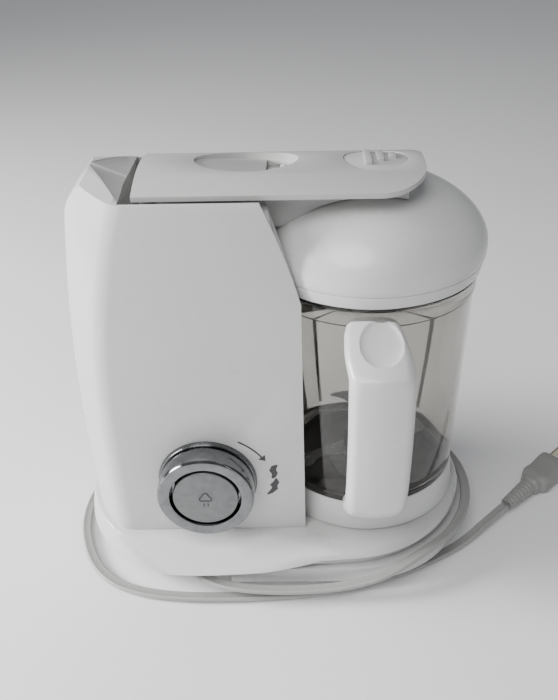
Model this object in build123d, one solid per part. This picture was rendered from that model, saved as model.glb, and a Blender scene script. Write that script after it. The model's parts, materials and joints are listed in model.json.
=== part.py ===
from build123d import *
from math import asin, cos, pi, radians, sin, sqrt, tan
import os

# Counter-top baby food maker: a tower with a steam boiler and the motor stands on a base
# that drives the blade in the jug beside it.  Millimetres, +Z up, +X towards the jug,
# the control knob faces -Y.  The floor is z = 0.

os.makedirs("parts", exist_ok=True)

# ------------------------------------------------------------------ driving dimensions
WALL = 2.5                  # moulded wall thickness
SHAFT_FIT = 0.06            # radial running clearance of shafts and pins

TOWER_X = -41.0             # axis of the round tower
JUG_X = 57.0                # axis of the jug, the blade and the lid
AXIS_Y = 4.0                # both axes lie in this plane
TOWER_R = 76.4
TOWER_LEAN_Z = 96.0         # the tower's side leans in above this height
TOWER_CORNER = 16.0         # rounding between the panel and the tower's left side
PANEL_Y = AXIS_Y - 55.6     # outer face of the flat front panel
PANEL_RIGHT = 19.0          # right edge of the panel
JUG_CLEAR_R = 67.5          # hollow in the tower that the jug stands in

FLOOR_GAP = 9.0             # underside of the base above the floor
LEDGE_Z = 20.0              # top of the lower flange, which the cord is wound on
DECK_EDGE_Z = 28.0          # underside of the deck's overhanging edge
DECK_Z = 36.0               # top of the base
TOWER_TOP = 251.8           # crest of the tower

FLANGE_X = 49.0             # centre of the flange's right-hand arc
FLANGE_R = 75.0
FLANGE_LEFT_R = 74.0
DECK_X = 43.0               # centre of the deck's right-hand arc
DECK_R = 76.0
GROOVE_R = 71.0
DECK_LEFT_R = 78.8          # left-hand arc of the deck's top edge
SKIRT_R = 83.0              # left-hand arc of the base at its bottom
APRON_Y = AXIS_Y - 80.0     # bottom edge of the flat apron in front

CROWN_R = 106.0             # crown of the tower's top, seen from the side
CROWN_Y = AXIS_Y - 20.0
ARM_R = 88.0                # crown of the arm
ARM_Y = AXIS_Y - 12.0       # middle of the arm
ARM_TOP = 251.4
ARM_EDGE = 2.4              # thickness of the arm's cover at its edge
ARM_SKIN = 6.0              # and further in
ARM_HALF = 33.0             # half the arm's width
ARM_LEFT = -63.0
ARM_RIGHT = 83.0
ARM_ROUND = 24.0            # corner radius of the arm's free end
HINGE_X = -55.0
HINGE_Z = 237.0
HINGE_SWEEP = 17.0          # reach of the arm's left end about the hinge
KEEL_FRONT = AXIS_Y - 30.0  # the arm's deep middle part
KEEL_BACK = AXIS_Y + 14.0
KEEL_Z = 222.5
HOOD_GAP = 1.5              # play between the arm and the channel it lies in

KNOB_X = -38.0
KNOB_Z = 75.0
KNOB_R = 28.0
KNOB_REACH = 17.0
BUTTON_R = 19.0

JUG_FLOOR_Z = 50.0
JUG_RIM_Z = 188.6
JUG_RIM_R = 61.2
JUG_TOP_R = 60.2
JUG_FOOT_R = 56.6
JUG_WALL = 2.4
RING_TOP_Z = 56.0           # top of the jug's white foot ring
LID_Z = 191.0               # underside of the lid
LID_SPLIT_Z = 198.0         # parting line between the lid's two mouldings
DOME_TOP = 242.0
HANDLE_WIDTH = 35.0
HANDLE_DEPTH = 12.6         # from the grip's front to its back
HANDLE_ROUND = 5.0
SEAT_R = 57.0               # recess in the deck that the jug turns in
BLADE_SHAFT_R = 4.0

CORD_D = 6.4

STEAM_X = -42.0             # boiler's neck and the steam port above it
STEAM_Y = AXIS_Y - 8.0
DUCT_Z = 230.5
SCOOP_X = -8.5              # finger scoop in the arm
SCOOP_Y = AXIS_Y - 9.0
DISC_X = 58.0               # lid release button
DISC_Y = AXIS_Y - 10.0
DISC_R = 16.2

MOTOR_X = -45.0
MOTOR_R = 24.0
MOTOR_SHAFT_R = 3.0
PULLEY_Z = 15.0             # underside of both pulleys
PULLEY_H = 7.0
MOTOR_PULLEY_R = 9.0
JUG_PULLEY_R = 22.0


# ------------------------------------------------------------------ small helpers
def save(name, shape):
    export_step(shape, f"parts/{name}.step")


def block(x0, x1, y0, y1, z0, z1):
    centre = Pos((x0 + x1) / 2, (y0 + y1) / 2, (z0 + z1) / 2)
    return centre * Box(x1 - x0, y1 - y0, z1 - z0)


def post(x, y, z0, z1, r):
    return Pos(x, y, (z0 + z1) / 2) * Cylinder(r, z1 - z0)


def tube(x, y, z0, z1, r_out, r_in):
    return post(x, y, z0, z1, r_out) - post(x, y, z0 - 1, z1 + 1, r_in)


def bar_y(x, z, y0, y1, r):
    return Pos(x, (y0 + y1) / 2, z) * Rot(90, 0, 0) * Cylinder(r, y1 - y0)


def bar_x(y, z, x0, x1, r):
    return Pos((x0 + x1) / 2, y, z) * Rot(0, 90, 0) * Cylinder(r, x1 - x0)


def turned(x, y, outline):
    """Solid of revolution about the vertical line at x, y from (radius, z) points."""
    wire = Polyline(*[(r, 0, z) for r, z in outline], close=True)
    return Pos(x, y, 0) * revolve(make_face(wire), Axis.Z, 360)


def prism_y(edges, y0, y1):
    """Outline drawn in X and Z, reaching from y0 to y1."""
    face = make_face(edges)
    return Pos(0, y0, 0) * extrude(face, amount=y1 - y0, dir=(0, 1, 0))


def prism_x(edges, x0, x1):
    """Outline drawn in Y and Z, reaching from x0 to x1."""
    face = make_face(edges)
    return Pos(x0, 0, 0) * extrude(face, amount=x1 - x0, dir=(1, 0, 0))


def hollow_bar_y(x, z, y0, y1, r_out, r_in):
    return bar_y(x, z, y0, y1, r_out) - bar_y(x, z, y0 - 1, y1 + 1, r_in)


def largest(shape):
    return max(shape.solids(), key=lambda solid: solid.volume)


def racetrack(z, x1, r1, x2, r2):
    """Flat outline around two circles on the axis plane."""
    lean = asin((r1 - r2) / (x2 - x1))
    a = (x1 + r1 * sin(lean), AXIS_Y - r1 * cos(lean), z)
    b = (x2 + r2 * sin(lean), AXIS_Y - r2 * cos(lean), z)
    c = (b[0], 2 * AXIS_Y - b[1], z)
    d = (a[0], 2 * AXIS_Y - a[1], z)
    front = Line(a, b)
    right = ThreePointArc(b, (x2 + r2, AXIS_Y, z), c)
    back = Line(c, d)
    left = ThreePointArc(d, (x1 - r1, AXIS_Y, z), a)
    return make_face([front, right, back, left])


def slab(z0, z1, x1, r1, x2, r2):
    return extrude(racetrack(z0, x1, r1, x2, r2), amount=z1 - z0, dir=(0, 0, 1))


def screw(x, y, z, length, head_r, head_h):
    """Screw pointing up, with the outer face of its slotted head at z."""
    head = post(x, y, z, z + head_h, head_r)
    shank = post(x, y, z + head_h, z + length, head_r * 0.42)
    slot = block(x - head_r, x + head_r, y - 0.4, y + 0.4, z - 1, z + head_h * 0.5)
    return head + shank - slot


# ------------------------------------------------------------------ base
def base_shell(inset):
    """Solid of the upper base, all faces moved inwards by inset."""
    skirt = loft([
        racetrack(LEDGE_Z, TOWER_X, SKIRT_R - inset, DECK_X, GROOVE_R - inset),
        racetrack(DECK_EDGE_Z, TOWER_X, SKIRT_R - 1.6 - inset, DECK_X, GROOVE_R - inset),
    ], ruled=True)
    rim = slab(DECK_EDGE_Z, DECK_EDGE_Z + 2, TOWER_X, SKIRT_R - 1.6 - inset, DECK_X, DECK_R - inset)
    deck = loft([
        racetrack(DECK_EDGE_Z + 2, TOWER_X, SKIRT_R - 1.6 - inset, DECK_X, DECK_R - inset),
        racetrack(DECK_Z - inset, TOWER_X, DECK_LEFT_R - inset, JUG_X, 60.0 - inset),
    ], ruled=True)
    shape = skirt + rim + deck
    flat = apron_section(-20, LEDGE_Z, AXIS_Y - 65.4 + inset, PANEL_Y - 1 + inset)
    round_ = apron_section(30, LEDGE_Z + 4, AXIS_Y - 76.6 + inset, AXIS_Y - 65.5 + inset)
    front = extrude(flat, amount=140, dir=(-1, 0, 0)) + loft([flat, round_], ruled=True)
    return (shape & front) + (shape & block(30, 160, -120, 120, 0, 60))


def apron_section(x, low_z, rim_y, top_y):
    """Cross-section that limits the front of the base at x."""
    corners = [(APRON_Y, LEDGE_Z - 1), (APRON_Y, low_z), (rim_y, DECK_EDGE_Z + 2), (top_y, DECK_Z),
               (top_y, DECK_Z + 1), (AXIS_Y + 100, DECK_Z + 1), (AXIS_Y + 100, LEDGE_Z - 1)]
    return make_face(Polyline(*[(x, y, z) for y, z in corners], close=True))


def base_housing():
    shell = base_shell(0) - base_shell(WALL)
    seat = post(JUG_X, AXIS_Y, DECK_Z - 6, DECK_Z + 1, SEAT_R)
    tower_hole = post(MOTOR_X, AXIS_Y, DECK_Z - 5, DECK_Z + 1, 14.0)
    for x, y in screw_places():
        shell += post(x, y, LEDGE_Z - 6, DECK_Z - 1, 4.5)
        shell -= post(x, y, LEDGE_Z - 7, DECK_Z - 6, 1.9)
    return largest(shell - seat - tower_hole)


def screw_places():
    return [(-88, -30), (-88, 38), (30, -54), (30, 62)]


def foot_places():
    return [(-72, -34), (-72, 42), (78, -30), (78, 38)]


def cord_recess(grow):
    """Space under the apron where the cord comes out."""
    return block(-95 - grow, -27 + grow, -130, AXIS_Y - 62 + grow, 0, LEDGE_Z + 5)


def base_plate():
    """Lower moulding with the flange that the cord is wound on."""
    tray = slab(FLOOR_GAP, LEDGE_Z, TOWER_X, FLANGE_LEFT_R, FLANGE_X, FLANGE_R) - cord_recess(0)
    hollow = slab(FLOOR_GAP + WALL, LEDGE_Z + 1, TOWER_X, FLANGE_LEFT_R - WALL,
                  FLANGE_X, GROOVE_R - 2 * WALL)
    hollow -= cord_recess(WALL)
    tray -= hollow
    lip = slab(LEDGE_Z - 2, LEDGE_Z, TOWER_X, SKIRT_R - WALL - 0.5, DECK_X, GROOVE_R - WALL - 1)
    lip -= slab(LEDGE_Z - 3, LEDGE_Z + 1, TOWER_X, FLANGE_LEFT_R - WALL,
                FLANGE_X - 2, GROOVE_R - 2 * WALL - 2)
    lip &= block(-160, 160, AXIS_Y - 76, 160, 0, 40)
    lip -= cord_recess(0) & block(-160, 160, -160, APRON_Y + 3, 0, 40)
    plate = tray + lip
    for x, y in screw_places():
        plate -= post(x, y, FLOOR_GAP - 1, FLOOR_GAP + 12, 2.2)
        plate -= post(x, y, FLOOR_GAP - 1, FLOOR_GAP + 1.2, 4.6)
    for x, y in foot_places():
        plate -= post(x, y, FLOOR_GAP - 1, FLOOR_GAP + 1.0, 9.05)
    for index in range(6):
        x = -74 + 9 * index
        plate -= block(x, x + 3.5, AXIS_Y - 14, AXIS_Y + 18, FLOOR_GAP - 1, FLOOR_GAP + WALL + 1)
    return largest(plate - cord_gland())


def rubber_feet():
    feet = []
    for x, y in foot_places():
        foot = post(x, y, 0, FLOOR_GAP + 1.0, 9.0)
        feet.append(fillet(foot.edges().group_by(Axis.Z)[0], 1.5))
    return Compound(children=feet)


def base_screws():
    return Compound(children=[screw(x, y, FLOOR_GAP, 14, 4.2, 1.2) for x, y in screw_places()])


# ------------------------------------------------------------------ tower
def tower_solid(inset):
    """Solid of the whole tower, all faces moved inwards by inset."""
    r = TOWER_R - inset
    bottom = DECK_Z - inset
    top = TOWER_TOP + 6

    def lean(z):
        return (z - TOWER_LEAN_Z) ** 2 / 1650

    half = [
        Line((0, 0, bottom), (r, 0, bottom)),
        Line((r, 0, bottom), (r, 0, TOWER_LEAN_Z)),
        ThreePointArc((r, 0, TOWER_LEAN_Z), (r - lean(190), 0, 190), (r - lean(top), 0, top)),
        Line((r - lean(top), 0, top), (0, 0, top)),
        Line((0, 0, top), (0, 0, bottom)),
    ]
    shape = Pos(TOWER_X, AXIS_Y, 0) * revolve(make_face(half), Axis.Z, 360)
    side = abs(PANEL_Y - AXIS_Y)
    shape += block(TOWER_X, PANEL_RIGHT - inset, AXIS_Y - side, AXIS_Y + side, bottom, top)
    shape &= block(-160, 60, PANEL_Y + inset, 160, 0, 300)
    corner = shape.edges().filter_by_position(Axis.Y, PANEL_Y + inset - 0.1, PANEL_Y + inset + 0.1)
    corner = [edge for edge in corner if edge.center().X < TOWER_X - 40 and edge.length > 50]
    shape = fillet(corner, TOWER_CORNER - inset)

    crest = TOWER_TOP - CROWN_R
    reach = CROWN_R - inset
    front = PANEL_Y - 6
    back = CROWN_Y + 101

    def crown(y):
        return crest + sqrt(reach ** 2 - (y - CROWN_Y) ** 2)

    profile = [
        Line((0, front, 0), (0, front, crown(front))),
        ThreePointArc((0, front, crown(front)), (0, CROWN_Y, crown(CROWN_Y)), (0, back, crown(back))),
        Line((0, back, crown(back)), (0, back, 0)),
        Line((0, back, 0), (0, front, 0)),
    ]
    shape &= prism_x(profile, -160, 60)

    shoulder_x = TOWER_X - 37 + inset
    shoulder_z = 150
    wide = 40
    tall = 104 - inset
    angles = [radians(22.5 * index) for index in range(5)]
    round_ = [(shoulder_x - wide * cos(a), 0, shoulder_z + tall * sin(a)) for a in angles]
    left = [
        Line((shoulder_x - wide, 0, 0), round_[0]),
        Spline(*round_, tangents=[(0, 0, 1), (1, 0, 0)]),
        Line(round_[-1], (80, 0, shoulder_z + tall)),
        Line((80, 0, shoulder_z + tall), (80, 0, 0)),
        Line((80, 0, 0), (shoulder_x - wide, 0, 0)),
    ]
    shape &= prism_y(left, -120, 120)

    shape -= post(JUG_X, AXIS_Y, 0, 300, JUG_CLEAR_R + inset)
    a = (PANEL_RIGHT - 0.2 - inset, 0, 190)
    b = (8.4 - inset, 0, 223.5)
    c = (-1.8 - inset, 0, 249)
    swing = [
        ThreePointArc(a, b, c),
        Line(c, (-6 - inset, 0, 262)),
        Line((-6 - inset, 0, 262), (80, 0, 262)),
        Line((80, 0, 262), (80, 0, 190)),
        Line((80, 0, 190), a),
    ]
    return shape - prism_y(swing, -120, 120)


def arm_arc(y, r):
    """Height of an arc of radius r about the centre of the arm's crown."""
    return ARM_TOP - ARM_R + sqrt(r ** 2 - (y - ARM_Y) ** 2)


def crowned_prism(y0, y1, x0, x1, r_low, z_high):
    """Space above the arc of radius r_low between two walls."""
    ym = (y0 + y1) / 2
    a = (0, y0, arm_arc(y0, r_low))
    b = (0, ym, arm_arc(ym, r_low))
    c = (0, y1, arm_arc(y1, r_low))
    edges = [
        ThreePointArc(a, b, c),
        Line(c, (0, y1, z_high)),
        Line((0, y1, z_high), (0, y0, z_high)),
        Line((0, y0, z_high), a),
    ]
    return prism_x(edges, x0, x1)


def notch(grow):
    """Shallow V-shaped hollow that runs down to the arm's left end."""
    tip = Vector(-90 - grow, ARM_Y, 251.4 - grow)
    low = Vector(ARM_LEFT - 6, ARM_Y - 1, 243.5 - grow)
    near = Vector(ARM_LEFT - 6, PANEL_Y + 2.6, 246.9 - grow)
    far = Vector(ARM_LEFT - 6, AXIS_Y + 21 + grow, 245.0 - grow)
    up = Vector(0, 0, 30)
    top = [tip + up, near + up, far + up]
    faces = [
        Face(Wire.make_polygon([tip, low, near], close=True)),
        Face(Wire.make_polygon([tip, far, low], close=True)),
        Face(Wire.make_polygon(top, close=True)),
        Face(Wire.make_polygon([tip, near, top[1], top[0]], close=True)),
        Face(Wire.make_polygon([tip, top[0], top[2], far], close=True)),
        Face(Wire.make_polygon([near, low, far, top[2], top[1]], close=True)),
    ]
    return Solid(Shell(faces))


def arm_channel(grow):
    """Space in the tower's top for the arm, widened by grow."""
    left = ARM_LEFT - 6 - grow
    right = 70
    front = PANEL_Y + 1.4
    back = ARM_Y + ARM_HALF + 0.7 + grow
    shape = crowned_prism(front, back, left, right, ARM_R - ARM_SKIN - HOOD_GAP - grow, 280)
    shape += block(left, right, KEEL_FRONT - 1 - grow, KEEL_BACK + 1 + grow, KEEL_Z - HOOD_GAP - grow, 280)
    side = ARM_Y - ARM_HALF - 1 - grow
    swing = bar_y(HINGE_X, HINGE_Z, side, back, HINGE_SWEEP + grow)
    shape += swing & block(left - 10, HINGE_X, side, back, HINGE_Z - 7 - grow, 280)
    return shape + notch(grow)


def knob_hole(y0, y1):
    return bar_y(KNOB_X, KNOB_Z, y0, y1, 10)


def front_panel():
    outer = tower_solid(0) - arm_channel(0)
    slice_ = outer & block(-160, 60, PANEL_Y - 1, PANEL_Y + 2.6, 0, 300)
    return largest(slice_ - knob_hole(PANEL_Y - 2, PANEL_Y + 5))


def tower_shell():
    shell = tower_solid(0) - tower_solid(WALL)
    shell -= arm_channel(WALL)
    front = PANEL_Y + 2.6
    shape = shell & block(-160, 60, front, AXIS_Y + 34, DECK_Z, 300)
    return largest(shape)


def rear_cover():
    shell = tower_solid(0) - tower_solid(WALL)
    shell -= arm_channel(WALL)
    shape = shell & block(-160, 60, AXIS_Y + 34, 160, DECK_Z, 300)
    for row in range(5):
        shape -= block(TOWER_X - 22, TOWER_X + 22, AXIS_Y + 60, 120, 60 + 7 * row, 63 + 7 * row)
    return largest(shape)


def top_tray():
    """Lining of the channel and of the V-shaped hollow, with the hinge's two lugs."""
    lining = (arm_channel(WALL) & tower_solid(0)) - arm_channel(0)
    lining &= block(-160, 60, PANEL_Y + 2.6, 160, 0, 300)
    tip = Vector(-89, ARM_Y, 251.4)
    low = Vector(ARM_LEFT - 6.3, ARM_Y - 1, 243.5)
    rib = Plane(origin=tip, z_dir=low - tip) * Pos(0, 0, (low - tip).length / 2) * Cylinder(1.1, (low - tip).length)
    rib -= bar_y(HINGE_X, HINGE_Z, ARM_Y - 10, ARM_Y + 10, HINGE_SWEEP)
    lining += rib & tower_solid(0)
    for y0, y1 in hinge_lugs():
        lug = bar_y(HINGE_X, HINGE_Z, y0, y1, 5.4)
        lug += block(HINGE_X - 2, HINGE_X + 5.4, y0, y1, KEEL_Z - HOOD_GAP - 1, HINGE_Z)
        lining += lug
        lining -= bar_y(HINGE_X, HINGE_Z, y0 - 1, y1 + 1, 2.0 + SHAFT_FIT)
    lining -= post(STEAM_X, STEAM_Y, 200, KEEL_Z, 13.5)
    return largest(lining)


def hinge_lugs():
    return [(AXIS_Y - 36.5, AXIS_Y - 31.5), (AXIS_Y + 4, AXIS_Y + 9)]


# ------------------------------------------------------------------ arm
def arm_outline(inset):
    """Arm seen from above: square at the hinge, round at the free end."""
    x0 = ARM_LEFT + inset
    x1 = ARM_RIGHT - inset
    y0 = ARM_Y - ARM_HALF + inset
    y1 = ARM_Y + ARM_HALF - inset
    r = ARM_ROUND - inset
    k = r * (1 - sqrt(0.5))
    edges = [
        Line((x0, y0), (x1 - r, y0)),
        ThreePointArc((x1 - r, y0), (x1 - k, y0 + k), (x1, y0 + r)),
        Line((x1, y0 + r), (x1, y1 - r)),
        ThreePointArc((x1, y1 - r), (x1 - k, y1 - k), (x1 - r, y1)),
        Line((x1 - r, y1), (x0, y1)),
        Line((x0, y1), (x0, y0)),
    ]
    return extrude(make_face(edges), amount=320, dir=(0, 0, 1))


def under_arc(r, x0, x1):
    """Everything below the arc of radius r about the centre of the arm's crown."""
    y0 = ARM_Y - 60
    y1 = ARM_Y + 60
    a = (0, y0, arm_arc(y0, r))
    b = (0, ARM_Y, arm_arc(ARM_Y, r))
    c = (0, y1, arm_arc(y1, r))
    edges = [
        ThreePointArc(a, b, c),
        Line(c, (0, y1, 0)),
        Line((0, y1, 0), (0, y0, 0)),
        Line((0, y0, 0), a),
    ]
    return prism_x(edges, x0, x1)


def clear_hinge(body, r):
    """Cut away what would touch the channel's floor or the lugs when the arm opens."""
    corner = block(HINGE_X - 30, HINGE_X, -60, 60, 200, HINGE_Z)
    body -= corner - bar_y(HINGE_X, HINGE_Z, -60, 60, r)
    for y0, y1 in hinge_lugs():
        body -= bar_y(HINGE_X, HINGE_Z, y0 - 0.5, y1 + 0.5, 6.0)
        body -= block(HINGE_X - 9, HINGE_X + 6.0, y0 - 0.5, y1 + 0.5, 200, HINGE_Z)
    return body


def scoop_oval(inset, z0, z1):
    oval = make_face(Ellipse(27 - inset, 17 - inset).edges())
    return Pos(SCOOP_X, SCOOP_Y, z0) * extrude(oval, amount=z1 - z0, dir=(0, 0, 1))


def scoop():
    """Dished hollow, shallow at its left end, with a window through its right end."""
    tilt = Pos(SCOOP_X, 0, ARM_TOP) * Rot(0, 3.3, 0) * Pos(-SCOOP_X, 0, -ARM_TOP)
    dish = scoop_oval(0, 200, 300) - tilt * under_arc(ARM_R - 3.2, -80, 80)
    window = scoop_oval(1.2, ARM_TOP - 9.8, 300) & block(1.5, 60, -60, 60, 200, 300)
    return dish + window


def arm_cover():
    skin = arm_outline(0) & under_arc(ARM_R, ARM_LEFT - 1, ARM_RIGHT + 1)
    skin -= under_arc(ARM_R - ARM_EDGE, ARM_LEFT - 2, ARM_RIGHT + 2)
    core = arm_outline(9) & under_arc(ARM_R - ARM_EDGE / 2, ARM_LEFT - 1, ARM_RIGHT + 1)
    core += block(ARM_LEFT, 0, ARM_Y - ARM_HALF + 9, ARM_Y + ARM_HALF - 9, 200, 300) & \
        under_arc(ARM_R - ARM_EDGE / 2, ARM_LEFT - 1, 1)
    skin += core - under_arc(ARM_R - ARM_SKIN, ARM_LEFT - 2, ARM_RIGHT + 2)
    skin = clear_hinge(skin, 13.0)
    skin -= dome_solid(0)
    skin -= scoop()
    skin -= post(DISC_X, DISC_Y, 200, 300, DISC_R + 0.35)
    return largest(skin)


def arm_keel():
    """Deep middle of the arm that carries the steam duct and wraps the lid's top."""
    body = block(ARM_LEFT + 1, ARM_RIGHT - 9, KEEL_FRONT, KEEL_BACK, KEEL_Z, 300)
    body &= under_arc(ARM_R - ARM_SKIN, ARM_LEFT - 1, ARM_RIGHT + 1)
    body -= dome_solid(0)
    body = clear_hinge(body, 15.2)
    body -= bar_y(HINGE_X, HINGE_Z, -60, 60, 2.0)
    body -= post(DISC_X, DISC_Y, 200, 300, DISC_R + 0.35)
    body -= bar_x(STEAM_Y, DUCT_Z, STEAM_X - 7, 60, 6.2)
    body -= post(STEAM_X, STEAM_Y, 200, DUCT_Z, 6.2)
    body -= block(-4, 24, SCOOP_Y - 13, SCOOP_Y + 13, ARM_TOP - 11.6, 300)
    return largest(body)


def steam_duct():
    duct = bar_x(STEAM_Y, DUCT_Z, STEAM_X - 7, 28, 6.2)
    duct += post(STEAM_X, STEAM_Y, KEEL_Z, DUCT_Z, 6.2)
    duct -= bar_x(STEAM_Y, DUCT_Z, STEAM_X - 4, 30, 4.4)
    duct -= post(STEAM_X, STEAM_Y, KEEL_Z - 1, DUCT_Z, 4.4)
    return duct


def hinge_pin():
    return bar_y(HINGE_X, HINGE_Z, AXIS_Y - 37, AXIS_Y + 11, 2.0)


def steam_gasket():
    return tube(STEAM_X, STEAM_Y, KEEL_Z - 2.8, KEEL_Z, 11.0, 7.0)


def latch_slider():
    low = ARM_TOP - 10.6
    plate = block(1.9, 15.5, SCOOP_Y - 10, SCOOP_Y + 10, low, low + 2.4)
    lip = block(8.8, 11.3, SCOOP_Y - 5, SCOOP_Y + 5, low, low + 5.6)
    wings = block(-1, 12, SCOOP_Y - 12, SCOOP_Y + 12, low, low + 0.7)
    return plate + lip + wings


def latch_spring():
    low = ARM_TOP - 10.6
    return bar_x(SCOOP_Y, low + 0.9, 15.6, 24, 1.6) - bar_x(SCOOP_Y, low + 0.9, 15, 25, 1.0)


def lid_release():
    """Round push button, crowned like the arm, with raised bars of falling length."""
    shape = post(DISC_X, DISC_Y, 200, 300, DISC_R)
    bars = shape & under_arc(ARM_R + 1.1, -100, 100)
    shape &= under_arc(ARM_R - 0.3, -100, 100)
    shape -= under_arc(ARM_R - 4.3, -100, 100)
    for index, half in enumerate((12.0, 8.0, 4.0)):
        x = DISC_X - 5.6 + 6.4 * index
        bar = bars & block(x, x + 3.4, DISC_Y - half + 2, DISC_Y + half + 2, 200, 300)
        shape += bar - under_arc(ARM_R - 1, -100, 100)
    return shape


def release_spring():
    """Spring under the release button, standing on the lid's top."""
    ring_ = tube(DISC_X, DISC_Y, 200, 300, 6.5, 4.5)
    ring_ -= dome_solid(-0.05)
    return largest(ring_ & under_arc(ARM_R - 4.4, -100, 100))


# ------------------------------------------------------------------ lid
def dome_solid(inset):
    """Solid under the lid's dome, all faces moved inwards by inset."""
    dome = [(65, 205), (63, 212.5), (58, 219), (49, 227), (38, 234.5), (25, 240), (0, DOME_TOP)]
    points = [(r * (1 - inset / 65), 0, z - inset * (1 - r / 65) - inset * 0.15) for r, z in dome]
    bottom = LID_SPLIT_Z
    foot = (64.4 - inset, 0, bottom)
    side = Line(foot, points[0])
    top = Spline(*points, tangents=[(0, 0, 1), (-1, 0, 0)])
    axis = Line(points[-1], (0, 0, bottom))
    floor = Line((0, 0, bottom), foot)
    return Pos(JUG_X, AXIS_Y, 0) * revolve(make_face([side, top, axis, floor]), Axis.Z, 360)


def lid_dome():
    shell = dome_solid(0) - dome_solid(WALL)
    return largest(shell - bar_x(STEAM_Y, DUCT_Z, -20, JUG_X, 6.2))


def lid_inner():
    """Lower ring of the lid with the perforated cap that closes the jug."""
    cap = turned(JUG_X, AXIS_Y, [
        (0, LID_Z + 1), (60.6, LID_Z + 1), (60.6, LID_Z), (62.8, LID_Z), (64.4, LID_SPLIT_Z),
        (61.2, LID_SPLIT_Z), (61.2, LID_Z + 4), (50, LID_Z + 4), (44, LID_Z + 3.2), (0, LID_Z + 3.2),
    ])
    for index in range(8):
        angle = radians(45 * index)
        cap -= post(JUG_X + 20 * cos(angle), AXIS_Y + 20 * sin(angle), 180, 200, 2.0)
    return cap - tube(JUG_X, AXIS_Y, LID_Z - 1, LID_Z + 1.8, 59.3, 54.7)


def lid_seal():
    return tube(JUG_X, AXIS_Y, JUG_RIM_Z + 0.4, LID_Z + 1.8, 59.3, 54.7)


# ------------------------------------------------------------------ jug
def jug():
    band_z = JUG_RIM_Z - 8.6
    foot = 54.6
    cup = turned(JUG_X, AXIS_Y, [
        (12, JUG_FLOOR_Z), (foot, JUG_FLOOR_Z), (foot, RING_TOP_Z),
        (JUG_FOOT_R, RING_TOP_Z), (JUG_TOP_R, band_z), (JUG_RIM_R, band_z), (JUG_RIM_R, JUG_RIM_Z),
        (JUG_TOP_R - JUG_WALL, JUG_RIM_Z), (JUG_TOP_R - JUG_WALL, band_z),
        (JUG_FOOT_R - JUG_WALL, RING_TOP_Z + 5), (48, JUG_FLOOR_Z + JUG_WALL), (12, JUG_FLOOR_Z + JUG_WALL),
    ])
    inside = turned(JUG_X, AXIS_Y, [(0, 50), (53.5, 55), (JUG_TOP_R - 2, band_z), (0, band_z)])
    for angle in (40, 140, 220, 320):
        spoke = Pos(JUG_X, AXIS_Y, 0) * Rot(0, 0, angle) * block(50.5, 60, -1.1, 1.1, 60, band_z - 3)
        cup += spoke & inside
    return cup


def jug_ring():
    """White foot ring that closes the bottom of the jug, with three bayonet tabs."""
    ring_ = turned(JUG_X, AXIS_Y, [
        (9.4, 45), (49, 45), (49, 36.4), (51, 36.4), (51, 33.4), (53.4, 33.4), (53.4, 36.4),
        (58.8, 36.4), (56.8, RING_TOP_Z), (54.6, RING_TOP_Z), (54.6, JUG_FLOOR_Z), (9.4, JUG_FLOOR_Z),
    ])
    return ring_ + bayonet(53.3, 54.9, 33.4, 34.6)


def bayonet(r0, r1, z0, z1):
    """Three short arcs at equal angles."""
    arcs = []
    for index in range(3):
        sector = Rot(0, 0, 90 + 120 * index) * block(40, 70, -6, 6, z0, z1)
        arcs.append(Pos(JUG_X, AXIS_Y, 0) * sector & tube(JUG_X, AXIS_Y, z0, z1, r1, r0))
    return arcs


def jug_handle():
    """Rounded bar from the jug's rim band down to its foot ring, with a thumb hollow."""
    spine = [(49, 183.6), (84.7, 161.3), (84.7, 66), (67, 56.5), (50, 52)]
    corners = [Vector(JUG_X, AXIS_Y - back, z) for back, z in spine]
    path = FilletPolyline(*corners, radius=[9, 18, 9])
    section = Plane(origin=path @ 0, x_dir=(1, 0, 0), z_dir=path % 0)
    body = sweep(section * RectangleRounded(HANDLE_WIDTH, HANDLE_DEPTH, HANDLE_ROUND), path)
    body -= turned(JUG_X, AXIS_Y, [
        (0, 30), (58.8, 30), (58.8, 36.4), (56.8, RING_TOP_Z), (JUG_FOOT_R, RING_TOP_Z),
        (JUG_TOP_R, JUG_RIM_Z - 8.6), (JUG_RIM_R, JUG_RIM_Z - 8.6), (JUG_RIM_R, 210), (0, 210),
    ])
    return largest(body - Pos(JUG_X, AXIS_Y - 83, 192) * Sphere(18))


# ------------------------------------------------------------------ blade and drive
def jug_seat():
    """Lining of the recess that the jug turns in, with three bayonet lugs."""
    seat = turned(JUG_X, AXIS_Y, [
        (11, 30.2), (SEAT_R, 30.2), (SEAT_R, DECK_Z), (55.5, DECK_Z), (55.5, 32.4), (11, 32.4),
    ])
    return seat + bayonet(53.9, 55.6, 35.0, DECK_Z)


def blade(z, reach, turn):
    """Flat two-armed cutter with swept edges, at height z, turned by turn degrees."""
    arm = Box(2 * reach, 13, 1.4) & Cylinder(reach, 3)
    arm -= Pos(reach * 0.62, 13, 0) * Cylinder(12, 3)
    arm -= Pos(-reach * 0.62, -13, 0) * Cylinder(12, 3)
    return Pos(JUG_X, AXIS_Y, z) * Rot(0, 0, turn) * arm


def blade_levels():
    """Height, reach and turn of each cutter."""
    return [(61.5, 44, 25), (82, 34, 115)]


def blades():
    cutters = [blade(*level) - post(JUG_X, AXIS_Y, 50, 100, BLADE_SHAFT_R) for level in blade_levels()]
    return Compound(children=cutters)


def blade_carrier():
    """Dark hub between the two cutters."""
    hub = turned(JUG_X, AXIS_Y, [
        (BLADE_SHAFT_R, 56.4), (12, 56.4), (12.5, 66), (9, 73), (8.5, 85), (5, 88.5), (0, 89), (0, 86),
        (BLADE_SHAFT_R, 86),
    ])
    for level in blade_levels():
        hub -= blade(*level)
    return largest(hub)


def blade_shaft():
    return post(JUG_X, AXIS_Y, 40.4, 86, BLADE_SHAFT_R)


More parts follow.
